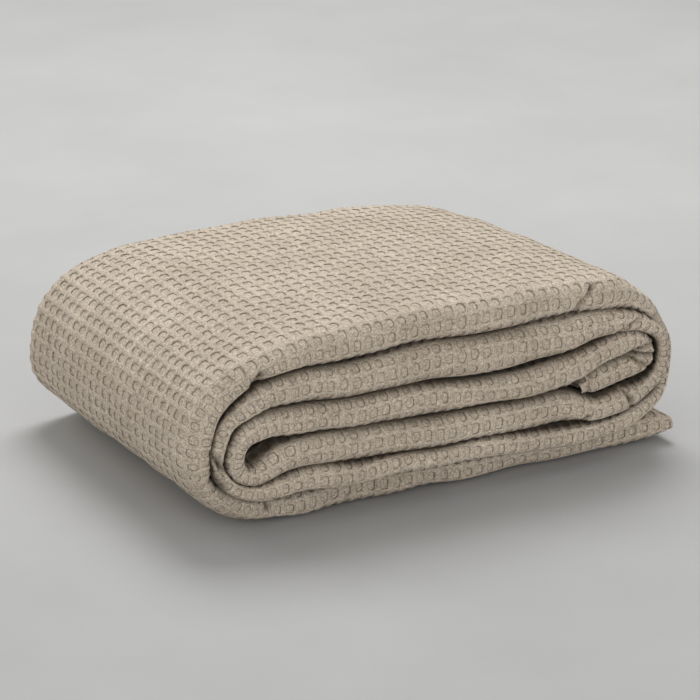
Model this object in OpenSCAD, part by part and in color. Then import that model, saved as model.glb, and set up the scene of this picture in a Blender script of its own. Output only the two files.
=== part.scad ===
// Folded throw blanket: a woven cloth folded lengthwise into a strip of six plies,
// and the strip rolled flat from its inner end. Every stretch of the strip is a node of its own:
// six flat layers, the wraps that join them end to end, the short flap in the core,
// and the hemmed end at each end of the strip.
// X runs along the flat layers, Y across the strip, and Z up. The rolled side faces -Y.

/* [Bundle] */
// Length of the bundle along X, between the two rounded ends
bundle_length = 320; // [300:5:340]
// Width of the folded strip along Y
strip_width = 228; // [210:2:240]
// Clearance between two layers that lie on each other
layer_gap = 0.2; // [0.1:0.1:0.6]

/* [Layers at the left end, bottom to top] */
// Thickness of the bottom layer, which ends free at the right
bottom_left = 13; // [12:0.5:15]
// Thickness of the lower layer
lower_left = 15; // [13:0.5:17]
// Thickness of the lower core layer
lower_core_left = 19; // [17:0.5:20]
// Open space left in the core
core_gap_left = 2; // [1:0.5:5]
// Thickness of the upper core layer
upper_core_left = 18; // [16:0.5:19]
// Thickness of the upper layer
upper_left = 24; // [22:0.5:26]
// Thickness of the top layer
top_left = 16.5; // [14:0.5:18]

/* [Layers at the right end, bottom to top] */
// Thickness of the bottom layer
bottom_right = 11; // [10:0.5:12]
// Thickness of the lower layer
lower_right = 14; // [12:0.5:15]
// Thickness of the lower core layer
lower_core_right = 18; // [16:0.5:19]
// Space for the core flap
core_flap_space = 13; // [11:0.5:14]
// Thickness of the upper core layer
upper_core_right = 17; // [16:0.5:18]
// Thickness of the upper layer
upper_right = 20; // [19:0.5:22]
// Thickness of the top layer
top_right = 15.5; // [14:0.5:17]
// Height of the crown along the middle of the top layer
crown = 2.5; // [0:0.5:3]

/* [Rounded ends] */
// Length along X of the rounded left end
left_end_depth = 60; // [50:1:66]
// Length along X of the rounded right end
right_end_depth = 46; // [44:1:52]
// Thickness of the outer wrap at the left end
left_outer_wrap_t = 16; // [14:0.5:18]
// Thickness of the middle wrap at the left end
left_middle_wrap_t = 11; // [9:0.5:12]
// Thickness of the core wrap at the left end
left_core_wrap_t = 13; // [11:0.5:14]
// Thickness of the outer wrap at the right end
right_outer_wrap_t = 11; // [9:0.5:12]
// Thickness of the middle wrap at the right end
right_middle_wrap_t = 12; // [10:0.5:13]
// Thickness of the core wrap at the right end
right_core_wrap_t = 11; // [9:0.5:12]

/* [Free ends] */
// Length of the core flap, from its hem to the core wrap
core_flap_length = 34; // [25:1:45]
// How far the free end of the bottom layer stops short of the right end
free_end_inset = 4; // [2:1:10]
// Width of the hemmed end of the strip
hem_width = 12; // [10:1:15]
// Thickness of the hemmed end at the core
inner_hem_t = 10; // [8:0.5:11]

/* [Hidden] */

x_left = -bundle_length / 2;
x_right = bundle_length / 2;

// Running totals of the thicknesses, which are the heights of the faces between layers.
function sums(t, i = 0) = i == 0 ? t[0] : sums(t, i - 1) + t[i];
left_levels = let (t = [0, bottom_left, lower_left, lower_core_left, core_gap_left, upper_core_left,
                        upper_left, top_left]) [for (i = [0 : len(t) - 1]) sums(t, i)];
right_levels = let (t = [0, bottom_right, lower_right, lower_core_right, core_flap_space, upper_core_right,
                         upper_right, top_right]) [for (i = [0 : len(t) - 1]) sums(t, i)];
// Names for the levels: the face below each layer.
FLOOR = 0;
ON_BOTTOM = 1;
ON_LOWER = 2;
ON_LOWER_CORE = 3;
UNDER_UPPER_CORE = 4;
ON_UPPER_CORE = 5;
ON_UPPER = 6;
ON_TOP = 7;

// The ends of the flat layers, where the wraps start.
x_wrap_left = x_left + left_end_depth;
x_wrap_right = x_right - right_end_depth;
x_free_end = x_right - free_end_inset;
x_flap_end = x_wrap_right - core_flap_length;

// The layers rise or fall between these two places, where the core flap comes in.
rise_start = -5;
rise_end = 82;
column_count = 20;
arc_steps = 18;
gap = layer_gap / 2;

function ease(t) = let (c = min(max(t, 0), 1)) c * c * (3 - 2 * c);
function crown_at(x) = crown * max(0, 1 - pow(x / x_wrap_right, 2));
function risen(x) = ease((x - rise_start) / (rise_end - rise_start));
function level(i, x) = left_levels[i] + (right_levels[i] - left_levels[i]) * risen(x)
                       + (i == ON_TOP ? crown_at(x) : 0);
function columns(a, b) = [for (k = [0 : column_count]) a + (b - a) * k / column_count];
function reversed(p) = [for (k = [len(p) - 1 : -1 : 0]) p[k]];

// Half of an ellipse round an end, from the height z_top at x_start, out to x_tip, and back at z_low.
function half_turn(x_start, x_tip, z_low, z_top) =
    [for (k = [0 : arc_steps]) let (a = 90 - 180 * k / arc_steps)
        [x_start + (x_tip - x_start) * cos(a), (z_low + z_top) / 2 + (z_top - z_low) / 2 * sin(a)]];

// Draws an outline in the XZ plane and gives it the strip's width, with its front and back edges set in.
module strip(outline, front_in = 0, back_in = 0) {
    translate([0, strip_width / 2 - back_in, 0])
        rotate([90, 0, 0])
            linear_extrude(strip_width - front_in - back_in) polygon(outline);
}

// A flat layer between the levels low and high, from x = a to x = b.
module layer(low, high, a, b, front_in = 0, back_in = 0) {
    xs = columns(a, b);
    lift = low == FLOOR ? 0 : gap;
    drop = high == ON_TOP ? 0 : gap;
    strip(concat([for (x = xs) [x, level(low, x) + lift]],
                 reversed([for (x = xs) [x, level(high, x) - drop]])), front_in, back_in);
}

// A wrap at one end, which joins the layer above levels[mid_high] to the layer below levels[mid_low].
// levels are that end's heights. x_start is where the flat layers end, and x_tip is the wrap's outermost
// point.
module wrap(levels, low, mid_low, mid_high, high, x_start, x_tip, t, front_in = 0, back_in = 0) {
    side = sign(x_tip - x_start);
    lift = low == FLOOR ? 0 : gap;
    drop = high == ON_TOP ? 0 : gap;
    strip(concat(half_turn(x_start, x_tip, levels[low] + lift, levels[high] - drop),
                 reversed(half_turn(x_start, x_tip - side * (t - layer_gap),
                                    levels[mid_low] - gap, levels[mid_high] + gap))), front_in, back_in);
}

module bottom_layer() {
    color("#a89a87") layer(FLOOR, ON_BOTTOM, x_wrap_left, x_free_end - hem_width, 14, 0);
}

module outer_end_hem() {
    color("#b5a692") layer(FLOOR, ON_BOTTOM, x_free_end - hem_width, x_free_end, 15, 1);
}

module left_outer_wrap() {
    color("#b8ab98")
        wrap(left_levels, FLOOR, ON_BOTTOM, ON_UPPER, ON_TOP, x_wrap_left, x_left, left_outer_wrap_t, 6, 2);
}

module top_layer() {
    color("#bfb29f") layer(ON_UPPER, ON_TOP, x_wrap_left, x_wrap_right, 3, 2);
}

module right_outer_wrap() {
    color("#b8ab98")
        wrap(right_levels, ON_BOTTOM, ON_LOWER, ON_UPPER, ON_TOP, x_wrap_right, x_right,
             right_outer_wrap_t, 4, 2);
}

module lower_layer() {
    color("#a89a87") layer(ON_BOTTOM, ON_LOWER, x_wrap_left, x_wrap_right, 4, 2);
}

module left_middle_wrap() {
    color("#b0a38f")
        wrap(left_levels, ON_BOTTOM, ON_LOWER, ON_UPPER_CORE, ON_UPPER, x_wrap_left,
             x_left + left_outer_wrap_t, left_middle_wrap_t, 3, 2);
}

module upper_layer() {
    color("#b0a38f") layer(ON_UPPER_CORE, ON_UPPER, x_wrap_left, x_wrap_right, 0, 1);
}

module right_middle_wrap() {
    color("#a89a87")
        wrap(right_levels, ON_LOWER, ON_LOWER_CORE, ON_UPPER_CORE, ON_UPPER, x_wrap_right,
             x_right - right_outer_wrap_t, right_middle_wrap_t, 2, 1);
}

module lower_core_layer() {
    color("#aa9d89") layer(ON_LOWER, ON_LOWER_CORE, x_wrap_left, x_wrap_right, 2, 2);
}

module left_core_wrap() {
    color("#a89a87")
        wrap(left_levels, ON_LOWER, ON_LOWER_CORE, UNDER_UPPER_CORE, ON_UPPER_CORE, x_wrap_left,
             x_left + left_outer_wrap_t + left_middle_wrap_t, left_core_wrap_t, 3, 2);
}

module upper_core_layer() {
    color("#aa9d89") layer(UNDER_UPPER_CORE, ON_UPPER_CORE, x_wrap_left, x_wrap_right, 2, 3);
}

// The core wrap turns back on itself, so its inner faces lie together.
module right_core_wrap() {
    color("#a09280")
        strip(concat(half_turn(x_wrap_right, x_right - right_outer_wrap_t - right_middle_wrap_t,
                               right_levels[ON_LOWER_CORE] + gap, right_levels[ON_UPPER_CORE] - gap),
                     reversed(half_turn(x_wrap_right,
                                        x_right - right_outer_wrap_t - right_middle_wrap_t - right_core_wrap_t,
                                        right_levels[UNDER_UPPER_CORE] - gap,
                                        right_levels[UNDER_UPPER_CORE] + gap))), 5, 3);
}

module core_flap() {
    color("#b5a692") layer(ON_LOWER_CORE, UNDER_UPPER_CORE, x_flap_end + hem_width, x_wrap_right, 5, 3);
}

module inner_end_hem() {
    flap_mid = (level(ON_LOWER_CORE, x_flap_end) + level(UNDER_UPPER_CORE, x_flap_end)) / 2;
    color("#c2b5a2")
        translate([x_flap_end, -strip_width / 2 + 6, flap_mid - inner_hem_t / 2])
            cube([hem_width, strip_width - 10, inner_hem_t]);
}

bottom_layer();
outer_end_hem();
left_outer_wrap();
top_layer();
right_outer_wrap();
lower_layer();
left_middle_wrap();
upper_layer();
right_middle_wrap();
lower_core_layer();
left_core_wrap();
upper_core_layer();
right_core_wrap();
core_flap();
inner_end_hem();
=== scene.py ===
# %% [markdown]
# # A folded throw blanket
# A throw is one sheet of cloth. This one was folded lengthwise until it was a strip six plies thick, and
# the strip was then rolled up flat, from its inner end outwards. We build it in the same order: we lay out
# flat grids of cloth, fold them across their width, and bend them along the route of the roll. Grids that
# start flat know where every thread runs, so the woven pattern follows each fold, as on real cloth.

import math

import bmesh
import bpy
import numpy as np
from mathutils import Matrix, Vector


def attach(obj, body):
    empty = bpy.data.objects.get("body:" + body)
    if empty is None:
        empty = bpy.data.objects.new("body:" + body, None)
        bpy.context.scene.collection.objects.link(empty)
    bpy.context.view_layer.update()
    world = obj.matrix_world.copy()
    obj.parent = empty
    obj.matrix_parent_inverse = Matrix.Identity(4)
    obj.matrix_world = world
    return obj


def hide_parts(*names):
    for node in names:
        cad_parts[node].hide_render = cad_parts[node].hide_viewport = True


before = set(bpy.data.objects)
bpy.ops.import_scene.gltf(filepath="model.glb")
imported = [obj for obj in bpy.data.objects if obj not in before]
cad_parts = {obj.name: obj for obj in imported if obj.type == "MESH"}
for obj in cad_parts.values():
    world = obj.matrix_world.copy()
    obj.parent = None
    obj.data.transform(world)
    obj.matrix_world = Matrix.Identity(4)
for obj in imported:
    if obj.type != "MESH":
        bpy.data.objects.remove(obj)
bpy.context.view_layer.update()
MM = 0.001

# %% [markdown]
# ## The sizes of the cloth
# The cloth is woven in small sunken pads that stand in straight rows, with ribs between them. All sizes are
# in millimetres here, and become metres when the mesh is made. The grid has eight columns and eight rows to
# a pad where the cloth can be seen. They stand close together at the pad's steep walls, and further apart
# on its floor and on the ribs, so that few points give a crisp edge.

# %% Sizes of the cloth
PAD_PITCH_ALONG = 7.5
PAD_PITCH_ACROSS = 8.6
COLUMN_STEPS = (0.0, 0.18, 0.235, 0.36, 0.5, 0.64, 0.765, 0.82)
ROW_STEPS = (0.0, 0.13, 0.18, 0.33, 0.5, 0.67, 0.82, 0.87)
STEPS_PER_PAD = len(COLUMN_STEPS)
PAD_DEPTH = 0.56
RIB_CROWN = 0.1
FRONT_Y = -112.0
PADS_ACROSS_FACE = 25
FACE_WIDTH = PADS_ACROSS_FACE * PAD_PITCH_ACROSS
HEM_TURN = 12.0
HEM_THICKNESS = 2.4
print("pads across the folded strip:", PADS_ACROSS_FACE, "which is, in mm:", FACE_WIDTH)

# %% [markdown]
# ## The route of the strip
# Seen from the rolled side, the strip runs along a flat spiral. A few stations fix it: each gives the
# middle of the strip (x and z), its thickness, and how far its front edge lies back from the foremost one.
# A fifth number, on the outer turn only, is how much the cloth swells there behind its front edge. They are
# grouped by the CAD node they lie in, from the inner end to the outer one. A soft roll isn't regular, so
# every layer has its own thickness and each rounded end its own shape.

# %% Stations along the route
ROUTE = {
    "inner_end_hem": [(87.5, 47, 5, 6), (91.5, 48, 13, 6), (97, 49.3, 16, 5)],
    "core_flap": [(104, 50.5, 17, 5), (113, 52, 17, 5), (121, 53.5, 16, 5)],
    "right_core_wrap": [
        (129, 55.5, 15.5, 6), (133.2, 61, 15.5, 7), (130, 67, 15.5, 6), (123.5, 69.5, 15, 4),
    ],
    "upper_core_layer": [
        (115, 69.5, 15.5, 3), (99, 66.5, 14.5, 2), (82, 60.9, 18.8, 1), (62, 58.5, 19.5, 1),
        (28, 57.5, 17.5, 2), (-17, 60, 18, 2), (-66, 61, 17.5, 2), (-98, 62.5, 18.5, 2),
    ],
    "left_core_wrap": [
        (-112, 63, 17, 2), (-122, 60.5, 13.5, 3), (-128, 53, 14, 4), (-130, 46, 13, 4),
        (-128, 38.5, 9.5, 4), (-121, 35.5, 11, 3),
    ],
    "lower_core_layer": [
        (-111, 39, 15.5, 3), (-103, 42, 19, 3), (-92, 43.2, 18.7, 3), (-66, 42.2, 19.2, 2),
        (-17, 40.7, 19, 1), (28, 39.4, 18.5, 1), (60, 38.7, 19.5, 1), (80, 38.2, 20, 1),
        (95, 34, 14, 2), (108, 35, 14.5, 2), (118, 36, 15.5, 2),
    ],
    "right_middle_wrap": [
        (128, 38, 12, 3), (136.3, 42.5, 10, 4), (142.6, 50, 9, 5), (144.6, 60.5, 7.5, 6),
        (142.4, 69.5, 6.5, 5), (135.5, 76, 8.5, 3), (125, 81.5, 13, 3),
    ],
    "upper_layer": [
        (112, 84, 15, 2), (96, 84, 20, 1.5), (78, 82.5, 24, 1.5), (27, 79.3, 25, 1.5),
        (-18, 81.3, 24.5, 1.5), (-64, 80, 21.5, 1.5), (-98, 81, 18.5, 2),
    ],
    "left_middle_wrap": [
        (-114, 79, 15.5, 3), (-125.5, 73, 12.5, 4), (-133.5, 66.5, 10.5, 5), (-138, 58, 9.5, 5),
        (-139.7, 48.5, 8, 6), (-137.5, 38.5, 7.5, 6), (-131, 30, 8, 5), (-122, 26, 9.5, 4),
    ],
    "lower_layer": [
        (-103, 26.5, 13.5, 3), (-85, 27.3, 16, 3), (-64, 25.3, 14.5, 2), (-16, 25, 12.5, 2),
        (28, 23.8, 13, 2), (95, 20.7, 13, 2), (120, 22, 12, 4),
    ],
    "right_outer_wrap": [
        (134, 26, 10.5, 8), (144.5, 31, 8.5, 11), (151, 41, 7.5, 13), (153, 52, 7, 14), (151.5, 62.5, 6, 14),
        (147.3, 71.5, 6, 13), (140.6, 80.8, 7.5, 10, 0.5), (129, 90.8, 10, 6, 1.5),
    ],
    "top_layer": [
        (114, 97.8, 16, 3, 2.5), (81, 101.8, 17.5, 2, 2), (27, 101, 19, 2, 2), (-18, 102.3, 18, 2, 2),
        (-64, 100.5, 18.5, 2, 2), (-90, 98.8, 16, 3, 2.5),
    ],
    "left_outer_wrap": [
        (-106, 96, 12.5, 3, 2.5), (-121, 91.2, 11, 4, 2.5), (-135.5, 80.5, 11.5, 6, 2.5),
        (-145.5, 67.5, 11, 7, 2.5), (-148.8, 53, 10.5, 9, 3), (-145.4, 37.5, 10.5, 11, 4),
        (-136.2, 25, 10.5, 13, 3.5),
        (-123.5, 14.6, 12.5, 15, 2.2), (-112, 10, 14, 16, 1),
    ],
    "bottom_layer": [
        (-98, 8.6, 15.5, 17), (-64, 9, 16.5, 17), (-16, 9.2, 17, 17), (28, 8.3, 15.5, 17),
        (95, 7.2, 13.5, 17), (128, 8.5, 16, 17),
    ],
    "outer_end_hem": [(142, 10, 18, 15.5), (150, 10.3, 13, 14.5), (157.5, 10.8, 7.5, 13.5)],
}
print("stations:", sum(len(stations) for stations in ROUTE.values()))

# %% [markdown]
# ## A smooth curve through the stations
# A cubic curve passes through all the stations. We sample it finely and then average it over a few
# millimetres, because cloth this thick can't make a sharp corner.


# %% Curve helpers
def cubic_through(points, samples_per_mm=4.0):
    """Samples a smooth cubic curve that passes through the points; also returns each point's own sample."""
    points = np.array(points, float)
    spans = np.hypot(*np.diff(points[:, :2], axis=0).T)
    at = np.concatenate([[0.0], np.cumsum(spans)])
    slope = np.diff(points, axis=0) / spans[:, None]
    tangent = np.empty_like(points)
    tangent[0] = slope[0]
    tangent[-1] = slope[-1]
    before = spans[:-1, None]
    after = spans[1:, None]
    tangent[1:-1] = (slope[:-1] * after + slope[1:] * before) / (before + after)
    t = np.linspace(0.0, at[-1], int(at[-1] * samples_per_mm))
    i = np.clip(np.searchsorted(at, t, side="right") - 1, 0, len(spans) - 1)
    h = spans[i][:, None]
    w = ((t - at[i]) / spans[i])[:, None]
    curve = (
        (2 * w**3 - 3 * w**2 + 1) * points[i]
        + (w**3 - 2 * w**2 + w) * h * tangent[i]
        + (3 * w**2 - 2 * w**3) * points[i + 1]
        + (w**3 - w**2) * h * tangent[i + 1]
    )
    return curve, np.searchsorted(t, at)


def blur(values, width):
    """Averages each column of values along the curve with a bell-shaped weight, width samples wide."""
    reach = int(3 * width)
    bell = np.exp(-0.5 * (np.arange(-reach, reach + 1) / width) ** 2)
    bell /= bell.sum()
    lead = values[:1] - (values[1 : reach + 1][::-1] - values[:1])
    trail = values[-1:] - (values[-reach - 1 : -1][::-1] - values[-1:])
    padded = np.concatenate([lead, values, trail])
    return np.stack([np.convolve(padded[:, k], bell, "valid") for k in range(values.shape[1])], axis=1)


# %% The curve of the strip
stations = [station + (0,) * (5 - len(station)) for group in ROUTE.values() for station in group]
raw, station_sample = cubic_through(stations)
ROUTE_BLUR = 11.0
PROFILE_BLUR = 24.0
place = blur(raw[:, :2], ROUTE_BLUR)
profile = blur(raw[:, 2:], PROFILE_BLUR)

step = np.gradient(place, axis=0)
step_length = np.hypot(step[:, 0], step[:, 1])
heading = step / step_length[:, None]
outward = np.stack([heading[:, 1], -heading[:, 0]], axis=1)
turn = np.unwrap(np.arctan2(heading[:, 1], heading[:, 0]))
bend = np.gradient(turn) / step_length
bend = blur(bend[:, None], 10.0)[:, 0]
outer_edge = place + outward * profile[:, :1] / 2
outer_step = np.hypot(*np.diff(outer_edge, axis=0).T)
along_outer = np.concatenate([[0.0], np.cumsum(outer_step)])
along_middle = np.concatenate([[0.0], np.cumsum((step_length[1:] + step_length[:-1]) / 2)])
print("strip length, mm:", round(along_middle[-1]), "on its outer face:", round(along_outer[-1]))

# %% [markdown]
# ## Columns of the grid
# The pads are evenly spaced along the strip's outer face. Each CAD node gets the columns of its own
# stretch, and neighbours share the column where they meet, always on a rib between pads, so the stretches
# join without a visible line.

# %% Spread the columns
pads_along = round(along_outer[-1] / PAD_PITCH_ALONG)
column_count = pads_along * STEPS_PER_PAD + 1
weave_along = np.append(np.add.outer(np.arange(pads_along), COLUMN_STEPS).ravel(), pads_along)
column_at = weave_along * along_outer[-1] / pads_along


def on_columns(values):
    """Values along the curve, read off at the columns."""
    read = [np.interp(column_at, along_outer, values[:, k]) for k in range(values.shape[1])]
    return np.stack(read, axis=1)


strip_place = on_columns(place)
strip_outward = on_columns(outward)
strip_outward /= np.hypot(strip_outward[:, 0], strip_outward[:, 1])[:, None]
strip_heading = np.stack([-strip_outward[:, 1], strip_outward[:, 0]], axis=1)
strip_profile = on_columns(profile)
strip_bend = on_columns(bend[:, None])[:, 0]
strip_middle = on_columns(along_middle[:, None])[:, 0]

STRETCHES = list(ROUTE)
borders = [0]
count = 0
for name in STRETCHES[:-1]:
    count += len(ROUTE[name])
    sample = (station_sample[count - 1] + station_sample[count]) // 2
    border_at = float(np.interp(sample, np.arange(len(along_outer)), along_outer))
    pads = round(border_at / PAD_PITCH_ALONG)
    borders.append(max(int(pads) * STEPS_PER_PAD, borders[-1] + 2 * STEPS_PER_PAD))
borders.append(column_count - 1)
print("columns:", column_count)

# %% [markdown]
# ## Soft irregularity
# Nothing on a folded blanket is straight. A few long waves with random phases, always from the same seed,
# make the front edges wander, the layers swell and shrink, and the rows of pads drift.

# %% Waves
dice = np.random.default_rng(11)


def wave_set(count, shortest, longest):
    """Random waves: each has a direction, a length in millimetres and a phase."""
    lengths = np.exp(dice.uniform(np.log(shortest), np.log(longest), count))
    angles = dice.uniform(0, math.tau, count)
    phases = dice.uniform(0, math.tau, count)
    return np.cos(angles) * math.tau / lengths, np.sin(angles) * math.tau / lengths, phases


def waves(along, across, chosen):
    """The sum of the waves at a place on the cloth, roughly between -1 and 1."""
    total = 0.0
    for k_along, k_across, phase in zip(*chosen):
        total = total + np.sin(k_along * along + k_across * across + phase)
    return total / math.sqrt(len(chosen[0]) * 1.6)


edge_waves = wave_set(6, 38, 150)
swell_waves = wave_set(6, 45, 160)
nose_waves = wave_set(5, 60, 240)
ripple_waves = wave_set(14, 26, 95)
drift_waves = wave_set(8, 70, 220)
slip_waves = wave_set(8, 60, 200)

EDGE_WANDER = 1.2
SWELL_SHARE = 0.035
NOSE_SHIFT = 3.2
RIPPLE = 0.55
DRIFT = 0.7
SLIP = 0.8
edge_wander = EDGE_WANDER * waves(column_at, 0.0, edge_waves)
swell = 1.0 + SWELL_SHARE * waves(column_at, 0.0, swell_waves)
nose_shift = NOSE_SHIFT * waves(column_at, 0.0, nose_waves)
print("front edges wander by mm:", round(float(np.ptp(edge_wander)), 1))

# %% [markdown]
# ## Pads
# Each pad is a pocket, sunk a little below the ribs round it, with steep walls, rounded corners and a
# puffed floor. On the grid its outline is a square, and the points slide along the cloth to round it. Every
# pad differs a little from the next in its size, place and depth, as it does where threads are beaten in by
# hand.


# %% The shape of a pad
def soft_step(value, start, stop):
    t = np.clip((value - start) / (stop - start), 0, 1)
    return t * t * (3 - 2 * t)


PAD_ROUNDNESS = 0.85
SIZE_JITTER = 0.13
PLACE_JITTER_ALONG = 0.13
PLACE_JITTER_ACROSS = 0.1
DEPTH_JITTER = 0.22
FLOOR_PUFF = 0.35
pad_dice = np.random.default_rng(7).uniform(-1, 1, (5, 97, 89))
wall_along = (0.5 - COLUMN_STEPS[2], 0.5 - COLUMN_STEPS[1])
wall_across = (0.5 - ROW_STEPS[2], 0.5 - ROW_STEPS[1])


def pocket(along, across):
    """For places on the cloth, in pads: how far they slide each way, in pads, and their height in mm."""
    cell_along = along % 1.0 - 0.5
    cell_across = across % 1.0 - 0.5
    pad_at = (np.floor(along).astype(int) % 97, np.floor(across).astype(int) % 89)
    longer, wider, shift_along, shift_across, deeper = pad_dice[(slice(None),) + pad_at]
    out_along = cell_along / wall_along[1]
    out_across = cell_across / wall_across[1]
    inside_along = np.clip(out_along, -1, 1)
    inside_across = np.clip(out_across, -1, 1)
    fade_along = 1 - np.clip((np.abs(out_along) - 1) / (0.5 / wall_along[1] - 1), 0, 1)
    fade_across = 1 - np.clip((np.abs(out_across) - 1) / (0.5 / wall_across[1] - 1), 0, 1)
    fade = fade_along * fade_across
    round_along = np.sqrt(1 - 0.5 * PAD_ROUNDNESS * inside_across**2)
    round_across = np.sqrt(1 - 0.5 * PAD_ROUNDNESS * inside_along**2)
    slide_along = inside_along * ((1 + SIZE_JITTER * longer) * round_along - 1)
    slide_along = slide_along + PLACE_JITTER_ALONG * shift_along
    slide_across = inside_across * ((1 + SIZE_JITTER * wider) * round_across - 1)
    slide_across = slide_across + PLACE_JITTER_ACROSS * shift_across
    sunk_along = 1 - soft_step(np.abs(cell_along), *wall_along)
    sunk_across = 1 - soft_step(np.abs(cell_across), *wall_across)
    sunk = sunk_along * sunk_across
    puff_along = 1 - np.clip(cell_along / wall_along[0], -1, 1) ** 2
    puff_across = 1 - np.clip(cell_across / wall_across[0], -1, 1) ** 2
    puff = puff_along * puff_across
    rib = np.cos(math.pi * cell_along) * np.cos(math.pi * cell_across)
    depth = PAD_DEPTH * (1 + DEPTH_JITTER * deeper)
    height = RIB_CROWN * (1 - rib) - depth * sunk * (1 - FLOOR_PUFF * puff)
    return wall_along[1] * slide_along * fade, wall_across[1] * slide_across * fade, height


print("walls of a pad, mm:", [round(w * PAD_PITCH_ALONG, 2) for w in wall_along])

# %% [markdown]
# ## One section of the strip
# Cut across, the strip shows one sheet folded into six plies. The outer ply wraps round the front edge,
# which makes the round lip that shows on the rolled side. Behind it, the sheet turns back twice more, and
# both its hemmed edges end at the back. We describe the section as a list of rows. Each row is one thread
# line of the cloth, with its depth from the front lip, its height in the strip, and the direction that it
# faces.


# %% Rows of the section
INNER_LIP = (1.2, 0.25)
LIP_STRETCH = 1.2
STRETCH_RANGE = (20.0, 60.0)
SAG_RANGE = (40.0, 170.0)
# Where the painted shade of a fold begins, and over how much more of the lip it grows to full, as shares of
# the lip's quarter.
SHADE_FROM = 0.5
SHADE_OVER = 0.33


class Section:
    """Collects rows of cloth. Each row holds one value for every column that it was made for."""

    def __init__(self, columns):
        self.columns = columns
        self.rows = []

    # The last value of a row is its painted fold shade, from 0 to 1.
    def add(self, depth, height, face_depth, face_height, across, relief, fold_shade):
        full = np.ones(len(self.columns))
        norm = np.hypot(face_depth * full, face_height * full)
        facing = (face_depth / norm, face_height / norm)
        self.rows.append((depth * full, height * full, *facing, across * full, relief * full, fold_shade))

    def arrays(self):
        return [np.array([row[k] * np.ones(len(self.columns)) for row in self.rows]) for k in range(7)]


def quarter_length(a, b):
    """The length of a quarter of an ellipse."""
    h = ((a - b) / (a + b)) ** 2
    return math.pi / 4 * (a + b) * (1 + 3 * h / (10 + np.sqrt(4 - 3 * h)))


def lip_length(half, lip_depth, flat):
    """The length of the cloth from the middle of the lip to where the face lies flat."""
    return flat * half + quarter_length((1 - flat) * half, lip_depth)


def lip_row(section, row_at, outer, inner, relief):
    """A row of the outer ply. Its place on the cloth is in pads, 0.5 at the middle of the lip."""
    columns = section.columns
    _, shift, _ = pocket(weave_along[columns], row_at)
    along_lip = (row_at + relief * shift - 0.5) * PAD_PITCH_ACROSS
    along_lip = along_lip + nose_shift[columns] * max(0.0, 1 - abs(row_at - 0.5) / 7) ** 2
    on_outer = along_lip >= 0
    side = np.where(on_outer, 1.0, -1.0)
    distance = np.abs(along_lip)
    chosen = [np.where(on_outer, a, b) for a, b in zip(outer, inner)]
    half, lip_depth, flat, quarter, swelling, shade_lifted = chosen
    stretched = 1 - soft_step(distance, *STRETCH_RANGE)
    distance = distance + LIP_STRETCH * np.tanh(distance / 9.0) * stretched
    upright = flat * half
    rounded = half - upright
    angle = math.pi / 2 * np.clip((distance - upright) / (quarter - upright), 0, 1)
    depth = lip_depth * (1 - np.cos(angle)) + np.maximum(distance - quarter, 0)
    height = np.minimum(distance, upright) + rounded * np.sin(angle)
    to_back = np.maximum(FACE_WIDTH - 2 - distance, 0)
    sinking = np.clip(strip_outward[columns, 1], 0, 1) * np.exp(-((to_back / 26) ** 1.4))
    height = height - swelling * sinking
    underside = np.clip(-strip_outward[columns, 1], 0, 1) * np.where(on_outer, 1.0, 0.0)
    height = height + underside * swelling * soft_step(distance, *SAG_RANGE)
    # Painted shade that grows deeper into the fold, where light hardly reaches; it is lifted where the face
    # is bare or open.
    lip_shade = np.clip((distance - SHADE_FROM * quarter) / (SHADE_OVER * quarter), 0, 1) * (1 - shade_lifted)
    across = (row_at - 0.5) * PAD_PITCH_ACROSS
    face_depth = -rounded * np.cos(angle)
    face_height = side * lip_depth * np.sin(angle)
    section.add(depth, side * height, face_depth, face_height, across, relief, lip_shade)


def turn_rows(section, back, middle, radius, start, stop, count, across, spin, relief=0.6):
    """Rows round a fold at the back: from the angle start to stop, about a centre in the strip."""
    for k in range(1, count):
        angle = math.radians(start + (stop - start) * k / count)
        out_depth = math.cos(angle)
        out_height = math.sin(angle)
        section.add(
            back + radius * out_depth, middle + radius * out_height, spin * out_depth, spin * out_height,
            across + k * 1.4, relief, 0.0,
        )


# %% [markdown]
# ## The whole section, from hem to hem
# The outer ply gets fine rows where it can be seen. The plies inside the strip only show as folded edges at
# the back, so they get few rows in between.


# %% Build the rows
LIP_PADS = 3.5
BACK_PADS = 2.0
SPARSE_ROWS = 20
row_places = np.add.outer(np.arange(-PADS_ACROSS_FACE, PADS_ACROSS_FACE + 1), ROW_STEPS).ravel()
outer_rows = [float(v) for v in row_places if 0.5 < v < PADS_ACROSS_FACE + 0.51]
inner_rows = [float(v) for v in row_places[::-1] if 0.49 - PADS_ACROSS_FACE < v <= 0.5]
print("rows on a fine face:", len(outer_rows))


def near_an_edge(row_at):
    """True for a row near the front lip or near the back edge of the face."""
    pads_out = abs(row_at - 0.5)
    return pads_out <= LIP_PADS or pads_out >= PADS_ACROSS_FACE - BACK_PADS


def thin_out(rows, keep_all, every):
    """Leaves out most of the rows in the middle of a face that can't be seen."""
    return [row_at for k, row_at in enumerate(rows) if keep_all or near_an_edge(row_at) or k % every == 0]


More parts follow.
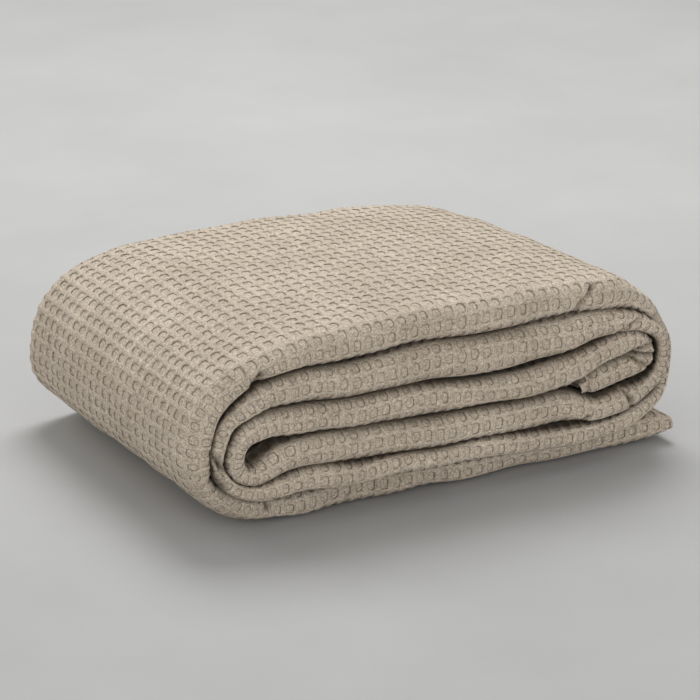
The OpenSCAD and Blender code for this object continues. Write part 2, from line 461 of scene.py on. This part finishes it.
def fold_section(columns, fine_face, rise):
    """All the rows of the sheet across the strip, for these columns."""
    section = Section(columns)
    thickness = strip_profile[columns, 0] * swell[columns]
    half = thickness / 2
    tight = np.maximum(strip_bend[columns], 1e-5)
    room = 0.93 / tight
    inner_half = half / (1 + (half / room) ** 6) ** (1 / 6)
    full_half = half + rise[columns]
    outer_flat = lip_shape[columns, 1]
    outer_lip = lip_shape[columns, 0] * full_half
    inner_lip = INNER_LIP[0] * half
    outer_quarter = lip_length(full_half, outer_lip, outer_flat)
    inner_quarter = lip_length(inner_half, inner_lip, INNER_LIP[1])
    back = outer_lip + FACE_WIDTH - outer_quarter
    inner_back = inner_lip + FACE_WIDTH - inner_quarter
    hem = np.minimum(HEM_THICKNESS, 0.16 * thickness)

    # The last number of each added row is its painted shade: half on the hems, full on the plies inside the
    # strip, which only show deep in the folds.
    # The hem of the outer face is turned to the inside.
    for k in range(4):
        depth = back - HEM_TURN * (1 - k / 3)
        section.add(depth, half - hem, 0, -1, FACE_WIDTH + HEM_TURN * (1 - k / 3) + 3, 0, 0.5)
    turn_rows(section, back, half - hem / 2, hem / 2, -90, 90, 5, FACE_WIDTH, 1.0)

    # The outer ply: outer face, lip, inner face.
    outer = (full_half, outer_lip, outer_flat, outer_quarter, rise[columns], exposed[columns])
    inner_flat = INNER_LIP[1] + 0.0 * half
    inner = (inner_half, inner_lip, inner_flat, inner_quarter, 0.0 * half, open_core[columns])
    for row_at in thin_out(outer_rows, fine_face, SPARSE_ROWS)[::-1]:
        lip_row(section, row_at, outer, inner, 1.0 if fine_face or near_an_edge(row_at) else 0.0)
    for row_at in thin_out(inner_rows, False, SPARSE_ROWS):
        lip_row(section, row_at, outer, inner, 1.0 if near_an_edge(row_at) else 0.0)

    # Back fold, then the second ply forward, round its own lip, and back again.
    low = -0.2 * thickness * inner_half / half
    radius = (inner_half + low) / 2
    across = -FACE_WIDTH
    turn_rows(section, inner_back, -inner_half + radius, radius, -90, 90, 10, across, 1.0, 0.5)
    for share in (0.0, 0.03, 0.1, 0.3, 0.6, 0.93):
        section.add(inner_back + (5 - inner_back) * share, low, 0, 1, across - 12 - 220 * share, 0, 1.0)
    high = np.minimum(0.28 * thickness, half - 1.9)
    section.add(3.5, (low + high) / 2, 1, 0, across - 240, 0, 1.0)
    for share in (0.93, 0.6, 0.3, 0.1, 0.03, 0.0):
        section.add(back - 1 + (6 - back) * share, high, 0, -1, across - 470 + 220 * share, 0, 1.0)

    # Second back fold, the third ply forward, its lip, and back to the inner hem.
    middle = 0.06 * thickness
    radius = (high - middle) / 2
    turn_rows(section, back - 1, (high + middle) / 2, radius, 90, -90, 8, across - 470, -1.0, -0.5)
    for share in (0.0, 0.03, 0.1, 0.3, 0.6, 0.9):
        section.add(back - 1 + (10 - back) * share, middle, 0, 1, across - 482 - 220 * share, 0, 1.0)
    section.add(8.5, -0.01 * thickness, -1, 0, across - 710, 0, 1.0)
    inner_hem = 0.01 * thickness
    for share in (0.9, 0.6, 0.3, 0.1, 0.0):
        depth = back - 2 + (12 - back) * share
        section.add(depth, -inner_hem, 0, -1, across - 930 + 220 * share, 0, 1.0)
    turn_rows(section, back - 2, -inner_hem - hem / 2, hem / 2, 90, -90, 5, across - 930, 1.0)
    for k in range(4):
        depth = back - 2 - HEM_TURN * k / 3
        section.add(depth, -inner_hem - hem, 0, 1, across - 933 - HEM_TURN * k / 3, 0, 0.5)
    return section.arrays()


# %% [markdown]
# ## Creases and nooks
# The lips of the layers have creases where the strip was bent or pressed. Each one is a short line on the
# rolled side, with a width and a depth. It pushes the cloth in along that line, and paints a little shade
# along its bottom.

# %% Creases, as (x1, z1, x2, z2, width, depth), in millimetres
CREASE_SHADE = 0.8
CREASES = [
    (-118, 88, -114, 92, 2.5, 5.0),
    (-140, 36, -136, 31, 3.0, 5.0),
    (-107, 20, -106, 9, 1.6, 3.2),
    (-143, 52, -138, 42, 1.4, 3.0),
    (-140, 48, -137, 42, 1.6, 4.0),
    (79, 94, 84, 99, 1.6, 4.5),
    (84, 99, 93, 108, 1.5, 4.5),
    (123, 84, 112, 77.5, 1.3, 3.5),
    (115.5, 43, 122.5, 31.5, 1.4, 4.0),
    (121, 63, 136, 66, 1.2, 4.0),
    (121, 62.5, 137, 60, 1.2, 4.0),
    (121, 61, 132, 53.5, 1.2, 4.0),
    (94, 56, 94.3, 41, 1.1, 4.5),
    (86, 27, 91, 31, 1.6, 4.0),
]


def crease_push(x, z, depth):
    """How far the creases push a point of the rolled side in, and how much painted shade it gets there, from
    0 to 1.
    """
    push = np.zeros_like(x)
    shade = np.zeros_like(x)
    for x1, z1, x2, z2, width, deep in CREASES:
        along = np.array([x2 - x1, z2 - z1], float)
        t = np.clip(((x - x1) * along[0] + (z - z1) * along[1]) / (along @ along), 0, 1)
        distance = np.hypot(x - x1 - t * along[0], z - z1 - t * along[1])
        push += deep * np.exp(-((distance / width) ** 2))
        shade = np.maximum(shade, np.exp(-((distance / (0.55 * width)) ** 2)))
    near_front = np.exp(-((depth / 9.0) ** 2))
    return push * near_front, CREASE_SHADE * shade * near_front


# %% [markdown]
# ## The outer turn
# The outer turn of the roll swells, where nothing holds it down. Its front lip isn't the same all round: on
# top it stands upright and then turns over quickly, and at the left end it is one long soft curve. Its outer
# face is bare and gets no painted shade. The other faces are pressed together and get painted shade inside
# the folds, less near the strip's two ends and in the open hollow of the core, where light gets in. All of
# this changes smoothly along the strip.

# %% The rise and the lip at each column
OUTER_LIP = {"right_outer_wrap": (1.1, 0.3), "top_layer": (1.1, 0.38), "left_outer_wrap": (1.7, 0.12)}
rise = np.maximum(strip_profile[:, 2], 0)
lip_shape = np.tile(INNER_LIP, (column_count, 1))
# How much of the painted fold shade is lifted: on the outer face, and in the open hollow of the core.
exposed = np.zeros(column_count)
open_core = np.zeros(column_count)
for k, name in enumerate(STRETCHES):
    here = slice(borders[k], borders[k + 1] + 1)
    lip_shape[here] = OUTER_LIP.get(name, INNER_LIP)
    exposed[here] = 1.0 if name in OUTER_LIP else 0.0
    open_core[here] = 0.9 if name == "left_core_wrap" else 0.0
exposed = blur(exposed[:, None], 8.0)[:, 0]
open_core = blur(open_core[:, None], 12.0)[:, 0]
lip_shape = blur(lip_shape, 16.0)
# Near the strip's two ends the painted fold shade is lighter.
strip_end = strip_middle[-1]
near_inner_end = 1 - soft_step(strip_middle, 3.0, 14.0)
near_outer_end = soft_step(strip_middle, strip_end - 22.0, strip_end - 6.0)
near_end = np.maximum(near_inner_end, near_outer_end)
print("highest rise, mm:", round(float(rise.max()), 1))

# %% [markdown]
# ## From flat cloth to folded cloth
# For each stretch we make a flat grid with `bmesh.ops.create_grid`, one vertex for every column and row.
# Each vertex then moves to its folded place. The grid's UV map keeps the vertex's place on the flat cloth,
# counted in pads, which is what the woven material reads.


# %% Fold one stretch
def settle(x):
    """How much lower the bundle is at its back than at its front, as a share of its height."""
    return 0.04 * soft_step(x, -130.0, -30.0) + 0.08 * soft_step(x, 0.0, 150.0)


def folded_points(columns, fine_face):
    """Where every vertex of these columns goes, and its place on the cloth."""
    depth, height, face_depth, face_height, across, relief, fold_shade = fold_section(columns, fine_face, rise)
    along = np.broadcast_to(column_at[columns], depth.shape)
    weave_u = np.broadcast_to(weave_along[columns], depth.shape)
    weave_v = across / PAD_PITCH_ACROSS + 0.5
    slide_along, _, pad_height = pocket(weave_u, weave_v)
    bump = relief * pad_height
    bump = bump + RIPPLE * (1 - 0.7 * fold_shade) * waves(along, across, ripple_waves)
    slide = relief * slide_along * PAD_PITCH_ALONG + DRIFT * waves(along, across, drift_waves)
    slip = SLIP * waves(along, across, slip_waves) * np.clip(depth / 40.0, 0, 1)
    lift = height + bump * face_height
    x = strip_place[columns, 0] + strip_outward[columns, 0] * lift + strip_heading[columns, 0] * slide
    z = strip_place[columns, 1] + strip_outward[columns, 1] * lift + strip_heading[columns, 1] * slide
    front = FRONT_Y + strip_profile[columns, 1] + edge_wander[columns]
    push, shade = crease_push(x, z, depth)
    # The painted shade of the folds and the creases, lighter near the strip's ends.
    fold_shade = np.maximum(fold_shade, shade) * (1 - 0.7 * near_end[columns])
    y = front + depth + bump * face_depth + slip + push
    z = z * (1 - settle(x) * np.clip(depth / FACE_WIDTH, 0, 1) ** 1.5)
    z = np.maximum(z, 0.25)
    return x, y, z, weave_u, weave_v, fold_shade


def cloth_mesh(name, columns, fine_face):
    """A flat grid of cloth, moved to its folded place."""
    x, y, z, weave_u, weave_v, fold_shade = folded_points(columns, fine_face)
    row_count, col_count = x.shape
    bm = bmesh.new()
    bm.loops.layers.uv.new("weave")
    bmesh.ops.create_grid(bm, x_segments=col_count - 1, y_segments=row_count - 1, size=0.5, calc_uvs=True)
    mesh = bpy.data.meshes.new(name)
    bm.to_mesh(mesh)
    bm.free()
    flat = np.empty(len(mesh.vertices) * 3)
    mesh.vertices.foreach_get("co", flat)
    flat = flat.reshape(-1, 3)
    col = np.rint((flat[:, 0] + 0.5) * (col_count - 1)).astype(int)
    row = np.rint((flat[:, 1] + 0.5) * (row_count - 1)).astype(int)
    folded = np.stack([x[row, col], y[row, col], z[row, col]], axis=1) * MM
    mesh.vertices.foreach_set("co", folded.ravel())
    corner = np.empty(len(mesh.loops), dtype=np.int32)
    mesh.loops.foreach_get("vertex_index", corner)
    weave = np.stack([weave_u[row, col], weave_v[row, col]], axis=1)
    mesh.uv_layers["weave"].data.foreach_set("uv", weave[corner].ravel())
    # The painted shade of the folds, stored on the mesh for the material.
    painted_fold_shade = mesh.attributes.new("painted_fold_shade", "FLOAT", "POINT")
    painted_fold_shade.data.foreach_set("value", fold_shade[row, col].astype(np.float32))
    mesh.polygons.foreach_set("use_smooth", np.ones(len(mesh.polygons), dtype=bool))
    mesh.update()
    return mesh


# %% [markdown]
# ## The woven material
# The cloth is a matt cotton. Its colour is a warm beige, with painted shade at the foot of each pad's wall
# and much darker painted shade where a fold is tucked in. Fine threads cross each other over the whole cloth:
# they are too small for the mesh, so a bump shows them. Everything is placed with the cloth's own UV map, so
# it follows the folds.


# %% Node helpers
class Nodes:
    """A short way to write a material's nodes."""

    def __init__(self, name):
        self.material = bpy.data.materials.new(name)
        self.material.use_nodes = True
        self.tree = self.material.node_tree
        self.shader = self.tree.nodes["Principled BSDF"]

    def new(self, kind, **settings):
        node = self.tree.nodes.new(kind)
        for key, value in settings.items():
            setattr(node, key, value)
        return node

    def link(self, source, target):
        if isinstance(source, (int, float)):
            target.default_value = source
        else:
            self.tree.links.new(source, target)

    def math(self, operation, *values, clamp=False):
        node = self.new("ShaderNodeMath", operation=operation, use_clamp=clamp)
        for value, socket in zip(values, node.inputs):
            self.link(value, socket)
        return node.outputs[0]

    def remap(self, value, low, high, to_low, to_high):
        node = self.new("ShaderNodeMapRange", interpolation_type="SMOOTHSTEP")
        for item, socket in zip((value, low, high, to_low, to_high), node.inputs):
            self.link(item, socket)
        return node.outputs[0]

    def mix(self, share, first, second, blend="MIX"):
        node = self.new("ShaderNodeMix", data_type="RGBA", blend_type=blend)
        self.link(share, node.inputs[0])
        for value, socket in ((first, node.inputs[6]), (second, node.inputs[7])):
            if isinstance(value, tuple):
                socket.default_value = value
            else:
                self.link(value, socket)
        return node.outputs[2]

    def stretch(self, place, factors):
        node = self.new("ShaderNodeVectorMath", operation="MULTIPLY")
        self.link(place, node.inputs[0])
        node.inputs[1].default_value = factors
        return node.outputs[0]

    def noise(self, place, scale, detail=3.0, roughness=0.55):
        node = self.new("ShaderNodeTexNoise")
        self.link(place, node.inputs["Vector"])
        node.inputs["Scale"].default_value = scale
        node.inputs["Detail"].default_value = detail
        node.inputs["Roughness"].default_value = roughness
        return node.outputs["Fac"]


# %% The cloth
CLOTH_LIGHT = (0.60, 0.514, 0.413, 1)
CLOTH_DARK = (0.52, 0.44, 0.347, 1)
# The next two colours are painted shade: at the foot of each pad's wall, and where a fold is tucked in.
GROOVE_SHADE_COLOUR = (0.22, 0.17, 0.115, 1)
FOLD_SHADE_COLOUR = (0.045, 0.031, 0.017, 1)
THREAD_PITCH = 1.15


def woven_cotton(name):
    n = Nodes(name)
    weave = n.new("ShaderNodeUVMap", uv_map="weave").outputs[0]
    place = n.new("ShaderNodeTexCoord").outputs["Object"]
    split = n.new("ShaderNodeSeparateXYZ")
    n.link(weave, split.inputs[0])
    along, across = split.outputs[0], split.outputs[1]

    # Millimetres outwards from the foot of the pad's wall. The mesh rounds the outline, so it is square here.
    off_along = n.math("ABSOLUTE", n.math("SUBTRACT", n.math("FRACT", along), 0.5))
    off_across = n.math("ABSOLUTE", n.math("SUBTRACT", n.math("FRACT", across), 0.5))
    mm_along = n.math("MULTIPLY", n.math("SUBTRACT", off_along, wall_along[0]), PAD_PITCH_ALONG)
    mm_across = n.math("MULTIPLY", n.math("SUBTRACT", off_across, wall_across[0]), PAD_PITCH_ACROSS)
    outline = n.math("MAXIMUM", mm_along, mm_across)
    ragged = n.math("MULTIPLY", n.math("SUBTRACT", n.noise(weave, 5.0, 2.0), 0.5), 1.1)
    outline = n.math("ADD", outline, ragged)
    pad = n.remap(outline, -0.15, 0.35, 1.0, 0.0)
    # A thin ring at the foot of the wall, which gets painted shade.
    past_foot = n.remap(outline, -0.14, 0.06, 0.0, 1.0)
    before_rim = n.remap(outline, 0.22, 0.46, 1.0, 0.0)
    groove_shade = n.math("MULTIPLY", past_foot, before_rim)

    # Threads that cross, with their unevenness.
    uneven = n.noise(weave, 1.3, 2.0)
    wobble = n.math("MULTIPLY", n.math("SUBTRACT", uneven, 0.5), 2.2)
    turns_along = n.math("MULTIPLY", along, PAD_PITCH_ALONG / THREAD_PITCH * math.tau)
    turns_across = n.math("MULTIPLY", across, PAD_PITCH_ACROSS / THREAD_PITCH * math.tau)
    warp = n.math("SINE", n.math("ADD", turns_along, wobble))
    weft = n.math("SINE", n.math("ADD", turns_across, wobble))
    crossings = n.math("MULTIPLY", warp, weft)
    threads = n.math("ADD", crossings, n.math("MULTIPLY", n.math("ADD", warp, weft), 0.35))
    slub_across = n.noise(n.stretch(weave, (7.5, 1.5, 1.0)), 1.0, 2.0, 0.6)
    slub_along = n.noise(n.stretch(weave, (1.4, 9.0, 1.0)), 1.0, 2.0, 0.6)
    slub = n.math("MULTIPLY", n.math("ADD", slub_across, slub_along), 0.5)
    fuzz = n.noise(place, 900.0, 2.0, 0.7)
    lint = n.remap(n.noise(place, 520.0, 3.0, 0.75), 0.6, 0.78, 0.0, 1.0)

    # Colour.
    mottle = n.noise(place, 26.0, 4.0, 0.6)
    base = n.mix(n.remap(mottle, 0.3, 0.72, 0.0, 1.0), CLOTH_DARK, CLOTH_LIGHT)
    grain = n.math("MULTIPLY", threads, 0.13)
    grain = n.math("ADD", grain, n.math("MULTIPLY", n.math("SUBTRACT", slub, 0.5), 1.3))
    grain = n.math("ADD", grain, n.math("MULTIPLY", n.math("SUBTRACT", fuzz, 0.5), 1.9))
    grain = n.math("ADD", grain, n.math("MULTIPLY", lint, 0.3))
    grain = n.math("ADD", grain, 0.98)
    gray = n.new("ShaderNodeCombineColor")
    for socket in gray.inputs[:3]:
        n.link(grain, socket)
    coloured = n.mix(1.0, base, gray.outputs[0], "MULTIPLY")
    # Painted shade in the ring, stronger on some pads than on others.
    groove_shade_strength = n.remap(n.noise(weave, 0.8, 2.0), 0.35, 0.65, 0.3, 0.88)
    coloured = n.mix(n.math("MULTIPLY", groove_shade, groove_shade_strength), coloured, GROOVE_SHADE_COLOUR)
    # Much darker painted shade where a fold is tucked in.
    painted_fold_shade = n.new("ShaderNodeAttribute", attribute_name="painted_fold_shade").outputs["Fac"]
    coloured = n.mix(n.math("MULTIPLY", painted_fold_shade, 0.95), coloured, FOLD_SHADE_COLOUR)
    n.link(coloured, n.shader.inputs["Base Color"])

    # Relief: the pad's edge first, then the threads.
    edge = n.new("ShaderNodeBump")
    edge.inputs["Strength"].default_value = 0.75
    edge.inputs["Distance"].default_value = 0.0006
    n.link(n.math("MULTIPLY", pad, -1.0), edge.inputs["Height"])
    fine = n.new("ShaderNodeBump")
    fine.inputs["Strength"].default_value = 0.55
    fine.inputs["Distance"].default_value = 0.00022
    relief = n.math("ADD", n.math("MULTIPLY", threads, 0.5), n.math("MULTIPLY", slub, 3.2))
    relief = n.math("ADD", relief, n.math("MULTIPLY", fuzz, 0.9))
    n.link(relief, fine.inputs["Height"])
    n.link(edge.outputs[0], fine.inputs["Normal"])
    n.link(fine.outputs[0], n.shader.inputs["Normal"])
    n.shader.inputs["Roughness"].default_value = 0.93
    n.shader.inputs["Specular IOR Level"].default_value = 0.18
    n.shader.inputs["Sheen Weight"].default_value = 0.12
    n.shader.inputs["Sheen Roughness"].default_value = 0.45
    n.shader.inputs["Sheen Tint"].default_value = (0.95, 0.9, 0.83, 1)
    return n.material


cloth_material = woven_cotton("woven_cotton")
print("nodes in the cloth's material:", len(cloth_material.node_tree.nodes))

# %% [markdown]
# ## Make the stretches
# Each stretch replaces its CAD solid and rides on the same body.

# %% Fold every stretch
OUTER_TURN = ("right_outer_wrap", "top_layer", "left_outer_wrap", "outer_end_hem")
triangles = 0
for k, name in enumerate(STRETCHES):
    columns = np.arange(borders[k], borders[k + 1] + 1)
    mesh = cloth_mesh("cloth_" + name, columns, name in OUTER_TURN)
    piece = bpy.data.objects.new("cloth_" + name, mesh)
    bpy.context.scene.collection.objects.link(piece)
    mesh.materials.append(cloth_material)
    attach(piece, "root")
    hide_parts(name)
    triangles += 2 * len(mesh.polygons)
print("triangles in all:", triangles, "cloth length mm:", round(float(strip_middle[-1])))

# %% [markdown]
# ## The set
# A wide pale floor and four soft lights: one above and a little behind, which draws the far wall of every
# pad, one behind at the left for the rounded end, and weaker ones at the left and in front. The camera
# looks down a little, like someone who stands by a low bench.

# %% Floor
floor_mesh = bpy.data.meshes.new("floor")
bm = bmesh.new()
bmesh.ops.create_grid(bm, x_segments=1, y_segments=1, size=12.0)
bm.to_mesh(floor_mesh)
bm.free()
floor = bpy.data.objects.new("floor", floor_mesh)
bpy.context.scene.collection.objects.link(floor)
floor_look = Nodes("pale_floor")
floor_place = floor_look.new("ShaderNodeTexCoord").outputs["Object"]
patches = floor_look.noise(floor_place, 5.0, 6.0, 0.6)
floor_colour = floor_look.mix(patches, (0.41, 0.41, 0.405, 1), (0.53, 0.53, 0.525, 1))
floor_look.link(floor_colour, floor_look.shader.inputs["Base Color"])
floor_look.shader.inputs["Roughness"].default_value = 0.85
floor_mesh.materials.append(floor_look.material)
print("floor ready")

# %% Light
world = bpy.data.worlds.new("soft_room")
world.use_nodes = True
world.node_tree.nodes["Background"].inputs[0].default_value = (1.0, 1.0, 1.0, 1)
world.node_tree.nodes["Background"].inputs[1].default_value = 0.42
bpy.context.scene.world = world


def soft_box(name, place, aim, size, power):
    lamp = bpy.data.lights.new(name, "AREA")
    lamp.shape = "SQUARE"
    lamp.size = size
    lamp.energy = power
    holder = bpy.data.objects.new(name, lamp)
    holder.location = place
    holder.rotation_euler = (Vector(aim) - Vector(place)).to_track_quat("-Z", "Y").to_euler()
    bpy.context.scene.collection.objects.link(holder)
    return holder


BUNDLE_CENTRE = (0, 0, 0.05)
soft_box("light_above", (0.4, 0.72, 1.5), BUNDLE_CENTRE, 1.0, 20.5)
soft_box("light_behind", (-0.9, 1.35, 0.95), BUNDLE_CENTRE, 1.0, 4.8)
soft_box("light_left", (-1.6, -0.4, 0.55), BUNDLE_CENTRE, 1.0, 4.4)
soft_box("light_front", (0.2, -1.7, 0.2), (0, 0, 0.03), 1.2, 12.0)
bpy.context.scene.view_settings.view_transform = "Standard"

# %% Camera
AZIMUTH = math.radians(-29)
ELEVATION = math.radians(20)
DISTANCE = 1.741
AIM = Vector((0, 0.004, 0.0515))
back = Vector((
    math.sin(AZIMUTH) * math.cos(ELEVATION),
    -math.cos(AZIMUTH) * math.cos(ELEVATION),
    math.sin(ELEVATION),
))
lens = bpy.data.cameras.new("camera")
lens.sensor_width = 36.0
lens.lens = 36.0 * 3000 / 700
lens.clip_start = 0.05
camera = bpy.data.objects.new("camera", lens)
camera.location = AIM + back * DISTANCE
camera.rotation_euler = (-back).to_track_quat("-Z", "Y").to_euler()
bpy.context.scene.collection.objects.link(camera)
bpy.context.scene.camera = camera
print("camera at", [round(c, 3) for c in camera.location])
